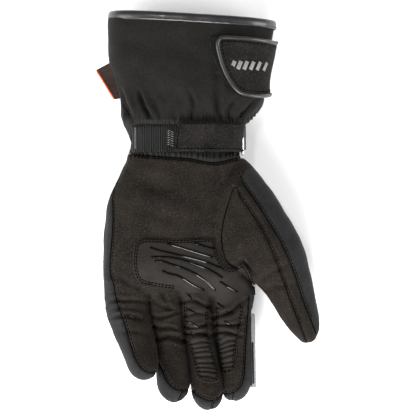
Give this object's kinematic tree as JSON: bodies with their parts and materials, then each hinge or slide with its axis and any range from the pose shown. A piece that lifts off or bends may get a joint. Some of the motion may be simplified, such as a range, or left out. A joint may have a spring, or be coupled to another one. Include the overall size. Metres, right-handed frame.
{
  "type": "insulated gauntlet glove",
  "caption": "Insulated left-hand gauntlet glove lying palm up, with flexing fingers and thumb, a flared bound cuff, a hook-and-loop cuff tab, a ringed wrist strap and a gripping palm.",
  "frame": {"origin": "centre of the plan outline, on the surface the glove lies on", "axes": "+Y from the fingertips to the cuff, +X to the thumb side, +Z out of the palm"},
  "size_m": [0.1703, 0.301, 0.059],
  "materials": {
    "palm_suede": "matt brushed",
    "back_softshell": "matt woven",
    "cuff_softshell": "matt woven",
    "lining": "soft fleece over wadding",
    "grip_leather": "satin",
    "silicone": "glossy",
    "guard": "matt",
    "webbing": "ribbed",
    "hook_and_loop": "matt pile",
    "piping": "glossy",
    "label": "woven",
    "wiper_rubber": "satin",
    "ring_metal": "bright"
  },
  "bodies": {
    "hand": {"palm_panel": "palm_suede", "back_panel": "back_softshell", "thumb_gusset": "palm_suede", "wrist_sleeve": "cuff_softshell", "wrist_elastic": "webbing", "hand_lining": "lining", "thumb_base_lining": "lining", "grip_patch": "grip_leather", "grip_ribs": "silicone", "knuckle_guard": "guard", "wrist_webbing": "webbing", "webbing_pile": "hook_and_loop", "ring_keeper": "webbing"},
    "knuckles": {"knuckle_palm_panel": "palm_suede", "knuckle_back_panel": "back_softshell", "knuckle_lining": "lining", "knuckle_grip_patch": "grip_leather"},
    "little": {"little_front_panel": "palm_suede", "little_back_panel": "back_softshell", "little_lining": "lining"},
    "ring": {"ring_front_panel": "palm_suede", "ring_back_panel": "back_softshell", "ring_lining": "lining"},
    "middle": {"middle_front_panel": "palm_suede", "middle_back_panel": "back_softshell", "middle_lining": "lining", "middle_grip_strip": "grip_leather"},
    "index": {"index_front_panel": "palm_suede", "index_back_panel": "back_softshell", "index_lining": "lining", "index_grip_strip": "grip_leather", "visor_wiper": "wiper_rubber"},
    "thumb": {"thumb_front_panel": "palm_suede", "thumb_back_panel": "back_softshell", "thumb_lining": "lining"},
    "cuff": {"cuff_palm_panel": "cuff_softshell", "cuff_back_panel": "cuff_softshell", "cuff_lining": "lining", "cuff_binding": "piping", "cuff_pile": "hook_and_loop", "cuff_tab_base": "cuff_softshell", "side_label": "label"},
    "cuff_tab": {"cuff_tab_panel": "cuff_softshell", "cuff_tab_pad": "hook_and_loop", "cuff_tab_piping": "piping"},
    "wrist_ring": {"strap_ring": "ring_metal"},
    "wrist_tab": {"wrist_tab_panel": "cuff_softshell", "wrist_tab_pad": "hook_and_loop"}
  },
  "joints": [
    {"name": "wrist_flex", "type": "hinge", "parent": "hand", "child": "cuff", "pos_m": [-0.0165, 0.076, 0.028], "axis": [-1, 0, 0], "range_deg": [-12, 12]},
    {"name": "knuckle_flex", "type": "hinge", "parent": "hand", "child": "knuckles", "pos_m": [-0.0225, -0.046, 0.028], "axis": [-1, 0, 0], "range_deg": [-8, 35]},
    {"name": "little_flex", "type": "hinge", "parent": "knuckles", "child": "little", "pos_m": [-0.0619, -0.07, 0.028], "axis": [-0.9829, -0.1839, 0], "range_deg": [-3, 50]},
    {"name": "ring_flex", "type": "hinge", "parent": "knuckles", "child": "ring", "pos_m": [-0.0348, -0.072, 0.028], "axis": [-0.9954, -0.0958, 0], "range_deg": [-8, 50]},
    {"name": "middle_flex", "type": "hinge", "parent": "knuckles", "child": "middle", "pos_m": [-0.009, -0.074, 0.028], "axis": [-0.9968, -0.0802, 0], "range_deg": [-8, 50]},
    {"name": "index_flex", "type": "hinge", "parent": "knuckles", "child": "index", "pos_m": [0.0176, -0.076, 0.028], "axis": [-0.9988, -0.0488, 0], "range_deg": [-8, 50]},
    {"name": "thumb_flex", "type": "hinge", "parent": "hand", "child": "thumb", "pos_m": [0.057, -0.052, 0.028], "axis": [-0.9205, -0.3907, 0], "range_deg": [-8, 35]},
    {"name": "ring_swing", "type": "hinge", "parent": "hand", "child": "wrist_ring", "pos_m": [0.0264, 0.054, 0.027], "axis": [0, 1, 0], "range_deg": [0, 25]},
    {"name": "wrist_tab_lift", "type": "hinge", "parent": "wrist_ring", "child": "wrist_tab", "pos_m": [0.0264, 0.054, 0.036], "axis": [0, 1, 0], "range_deg": [0, 120]},
    {"name": "cuff_tab_lift", "type": "hinge", "parent": "cuff", "child": "cuff_tab", "pos_m": [0.0535, 0.107, 0.0285], "axis": [0.13, 0.9915, 0], "range_deg": [0, 120]}
  ]
}
